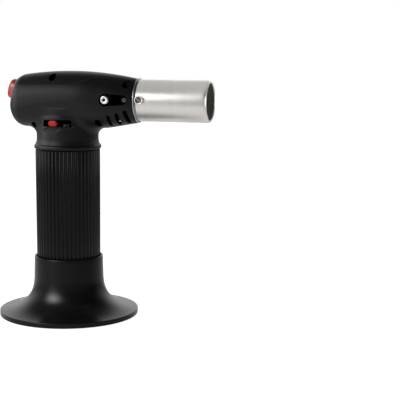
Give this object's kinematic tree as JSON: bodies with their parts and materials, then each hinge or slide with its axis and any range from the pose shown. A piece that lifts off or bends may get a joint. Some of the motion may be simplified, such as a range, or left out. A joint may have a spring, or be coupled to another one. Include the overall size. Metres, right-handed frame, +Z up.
{
  "type": "butane torch",
  "caption": "Table-top butane torch: ribbed tank handle in a flared stand, two-shell head with rear trigger, steel nozzle.",
  "frame": {"origin": "bottom centre of the bounding box, on the surface the stand rests on; the handle's axis is 30.15 mm behind it along -X", "axes": "+X along the nozzle, +Z up along the handle, Y across the two head shells, with the screws and the lock on the -Y side"},
  "size_m": [0.1688, 0.1086, 0.1908],
  "materials": {
    "stand_plastic": "semi-gloss black moulding",
    "head_plastic": "fine satin black moulding",
    "grip_plastic": "satin black ribbed sleeve",
    "tank_plastic": "smoke-grey moulded nylon",
    "rubber": "matt black rubber",
    "brass": "turned brass",
    "spring_steel": "zinc-plated steel",
    "black_steel": "blackened steel",
    "burner_steel": "heat-tinted stainless steel",
    "nozzle_steel": "satin stainless steel, turned",
    "nickel": "bright nickel plate",
    "hub_alloy": "die-cast alloy",
    "red_plastic": "glossy red moulding",
    "white_plastic": "off-white moulding and sleeving",
    "ceramic": "off-white ceramic"
  },
  "bodies": {
    "stand": {"base_stand": "stand_plastic", "foot_ring": "rubber"},
    "trigger": {"trigger_button": "red_plastic", "trigger_link": "spring_steel", "piezo_plunger": "white_plastic"},
    "valve_lever": {"valve_lever": "spring_steel"},
    "valve_stem": {"valve_stem": "brass"},
    "flame_lever": {"flame_lever": "red_plastic"},
    "lock": {"lock_slider": "head_plastic", "lock_knob": "nickel"},
    "refill_stem": {"refill_stem": "brass"},
    "torch": {"grip_sleeve": "grip_plastic", "tank_body": "tank_plastic", "tank_cap": "tank_plastic", "tank_seal": "rubber", "refill_valve_body": "brass", "refill_spring": "spring_steel", "valve_body": "brass", "valve_seal": "rubber", "wick_tube": "white_plastic", "valve_spring": "spring_steel", "valve_bracket": "spring_steel", "lever_pin": "spring_steel", "fuel_hose": "white_plastic", "jet_holder": "brass", "gas_jet": "brass", "mixing_tube": "brass", "nozzle_hub": "hub_alloy", "burner_tube": "burner_steel", "flame_holder": "burner_steel", "electrode": "spring_steel", "electrode_insulator": "ceramic", "ignition_lead": "white_plastic", "nozzle_tube": "nozzle_steel", "nozzle_ring": "nickel", "nozzle_screw_near": "nickel", "nozzle_screw_far": "nickel", "piezo_body": "white_plastic", "head_shell_near": "head_plastic", "head_shell_far": "head_plastic", "shell_screw_1": "black_steel", "shell_screw_2": "black_steel", "shell_screw_3": "black_steel", "shell_screw_4": "black_steel"}
  },
  "joints": [
    {"name": "lift_from_stand", "type": "slide", "parent": "stand", "child": "torch", "axis": [0, 0, 1], "range_m": [0, 0.03]},
    {"name": "trigger_press", "type": "slide", "parent": "torch", "child": "trigger", "axis": [0.9613, 0, -0.2756], "range_m": [0, 0.005], "stiffness_N_per_m": 900, "springref_m": -0.002},
    {"name": "valve_lever_tilt", "type": "hinge", "parent": "torch", "child": "valve_lever", "pos_m": [-0.01715, 0, 0.1565], "axis": [0, 1, 0], "range_deg": [0, 6.88]},
    {"name": "valve_stem_lift", "type": "slide", "parent": "torch", "child": "valve_stem", "axis": [0, 0, 1], "range_m": [0, 0.0015], "deforming": ["valve_spring"]},
    {"name": "flame_adjust", "type": "hinge", "parent": "torch", "child": "flame_lever", "pos_m": [-0.03015, 0, 0.1517], "axis": [0, 0, 1], "range_deg": [-7, 21]},
    {"name": "lock_slide", "type": "slide", "parent": "torch", "child": "lock", "axis": [1, 0, 0], "range_m": [0, 0.0094]},
    {"name": "refill_press", "type": "slide", "parent": "torch", "child": "refill_stem", "axis": [0, 0, 1], "range_m": [0, 0.0015], "stiffness_N_per_m": 500, "springref_m": -0.002, "deforming": ["refill_spring"]}
  ],
  "couplings": [
    {"joint": "valve_lever_tilt", "follows": "trigger_press", "rad_per_m": 24},
    {"joint": "valve_stem_lift", "follows": "trigger_press", "ratio": 0.3}
  ]
}
